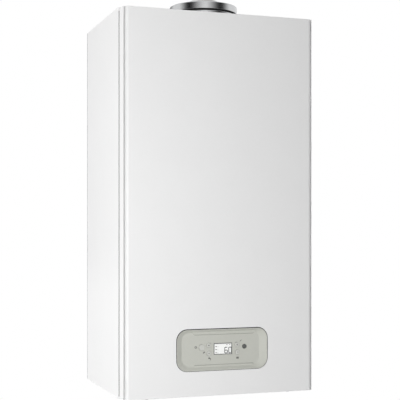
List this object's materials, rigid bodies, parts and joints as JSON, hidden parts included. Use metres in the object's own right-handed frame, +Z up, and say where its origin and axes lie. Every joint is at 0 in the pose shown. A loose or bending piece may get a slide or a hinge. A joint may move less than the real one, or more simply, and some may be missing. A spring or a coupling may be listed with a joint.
{
  "type": "combi boiler",
  "caption": "Wall-hung condensing combi boiler: white sheet-steel casing with a lift-off front cover, recessed control panel, concentric flue collar and threaded pipe tails below.",
  "frame": {"origin": "on the wall face, midway between the two hanging slots, at the height of the slots' top edges", "axes": "+Z up, +Y into the wall, -Y the front face, +X to the right as seen from the front"},
  "size_m": [0.4, 0.319, 0.8365],
  "materials": {
    "white_enamel": "fine smooth powder coat, satin",
    "zinc_steel": "galvanised sheet, dull",
    "polished_steel": "polished spun steel",
    "black_rubber": "matt",
    "cast_aluminium": "as cast, matt",
    "stainless": "bright drawn",
    "grey_composite": "moulded, matt",
    "black_plastic": "moulded, matt",
    "brass": "machined",
    "copper": "drawn copper tube, bright",
    "grey_paint": "stove enamel, satin",
    "fascia_grey": "moulded, satin, warm grey",
    "button_grey": "moulded, satin",
    "display": "clear lens over a pale display",
    "board_green": "solder mask",
    "red_plastic": "moulded",
    "blue_plastic": "moulded",
    "dark_button": "moulded, satin"
  },
  "bodies": {
    "casing": {"back_frame": "zinc_steel", "top_panel": "white_enamel", "left_side_panel": "white_enamel", "right_side_panel": "white_enamel", "bottom_plate": "zinc_steel", "flue_flange": "polished_steel", "flue_gasket": "black_rubber", "flue_collar": "polished_steel", "flue_socket": "grey_composite", "exhaust_pipe": "grey_composite", "heat_exchanger_shell": "grey_composite", "heat_exchanger_coil": "stainless", "burner_door": "cast_aluminium", "burner_tube": "stainless", "burner_elbow": "cast_aluminium", "fan_housing": "cast_aluminium", "fan_motor": "black_plastic", "gas_air_mixer": "grey_composite", "gas_valve": "cast_aluminium", "gas_pipe": "copper", "gas_feed_pipe": "copper", "expansion_vessel": "grey_paint", "vessel_pipe": "copper", "condensate_trap": "grey_composite", "flow_manifold": "grey_composite", "return_manifold": "grey_composite", "diverter_motor": "black_plastic", "plate_exchanger": "stainless", "pump_housing": "grey_composite", "pump_motor": "cast_aluminium", "air_vent": "brass", "flow_pipe": "copper", "return_pipe": "copper", "heating_flow_tail": "brass", "hot_water_tail": "brass", "gas_tail": "brass", "cold_water_tail": "brass", "heating_return_tail": "brass", "cable_gland": "black_plastic"},
    "fan_impeller": {"fan_impeller": "cast_aluminium"},
    "pump_impeller": {"pump_impeller": "grey_composite"},
    "diverter_stem": {"diverter_stem": "brass"},
    "flow_turbine": {"flow_turbine": "display"},
    "relief_valve_knob": {"relief_valve_knob": "red_plastic"},
    "filling_tap_knob": {"filling_tap_knob": "blue_plastic"},
    "front_cover": {"front_cover": "white_enamel", "cover_seal": "black_rubber", "cover_screw_left": "zinc_steel", "cover_screw_right": "zinc_steel"},
    "control_box": {"control_box_case": "black_plastic", "control_box_lid": "black_plastic", "main_board": "board_green", "fascia": "fascia_grey", "display_lens": "display"},
    "on_off_button": {"on_off_button": "button_grey"},
    "hot_water_up_button": {"hot_water_up_button": "button_grey"},
    "hot_water_down_button": {"hot_water_down_button": "button_grey"},
    "heating_up_button": {"heating_up_button": "button_grey"},
    "heating_down_button": {"heating_down_button": "button_grey"},
    "reset_button": {"reset_button": "dark_button"}
  },
  "joints": [
    {"name": "front_cover_pull", "type": "slide", "parent": "casing", "child": "front_cover", "axis": [0, -1, 0], "range_m": [0, 0.45]},
    {"name": "control_box_tilt", "type": "hinge", "parent": "casing", "child": "control_box", "pos_m": [0, -0.311, -0.694], "axis": [1, 0, 0], "range_deg": [0, 90]},
    {"name": "fan_spin", "type": "hinge", "parent": "casing", "child": "fan_impeller", "pos_m": [0.128, -0.245, -0.125], "axis": [0, 1, 0], "continuous": true},
    {"name": "pump_spin", "type": "hinge", "parent": "casing", "child": "pump_impeller", "pos_m": [0.13, -0.09, -0.557], "axis": [0, 1, 0], "continuous": true},
    {"name": "turbine_spin", "type": "hinge", "parent": "casing", "child": "flow_turbine", "pos_m": [0.067, -0.11, -0.681], "axis": [0, 0, 1], "continuous": true},
    {"name": "diverter_travel", "type": "slide", "parent": "casing", "child": "diverter_stem", "axis": [0, 0, 1], "range_m": [0, 0.008]},
    {"name": "relief_valve_turn", "type": "hinge", "parent": "casing", "child": "relief_valve_knob", "pos_m": [0.11, -0.17, -0.665], "axis": [0, 1, 0], "range_deg": [0, 90]},
    {"name": "filling_tap_turn", "type": "hinge", "parent": "casing", "child": "filling_tap_knob", "pos_m": [0.1, -0.138, -0.725], "axis": [0, 0, 1], "range_deg": [0, 90]},
    {"name": "on_off_press", "type": "slide", "parent": "control_box", "child": "on_off_button", "axis": [0, 1, 0], "range_m": [0, 0.0008], "stiffness_N_per_m": 300},
    {"name": "hot_water_up_press", "type": "slide", "parent": "control_box", "child": "hot_water_up_button", "axis": [0, 1, 0], "range_m": [0, 0.0008], "stiffness_N_per_m": 300},
    {"name": "hot_water_down_press", "type": "slide", "parent": "control_box", "child": "hot_water_down_button", "axis": [0, 1, 0], "range_m": [0, 0.0008], "stiffness_N_per_m": 300},
    {"name": "heating_up_press", "type": "slide", "parent": "control_box", "child": "heating_up_button", "axis": [0, 1, 0], "range_m": [0, 0.0008], "stiffness_N_per_m": 300},
    {"name": "heating_down_press", "type": "slide", "parent": "control_box", "child": "heating_down_button", "axis": [0, 1, 0], "range_m": [0, 0.0008], "stiffness_N_per_m": 300},
    {"name": "reset_press", "type": "slide", "parent": "control_box", "child": "reset_button", "axis": [0, 1, 0], "range_m": [0, 0.0008], "stiffness_N_per_m": 300}
  ],
  "couplings": [
    {"joint": "control_box_tilt", "follows": "front_cover_pull", "rad_per_m": 3.49}
  ]
}
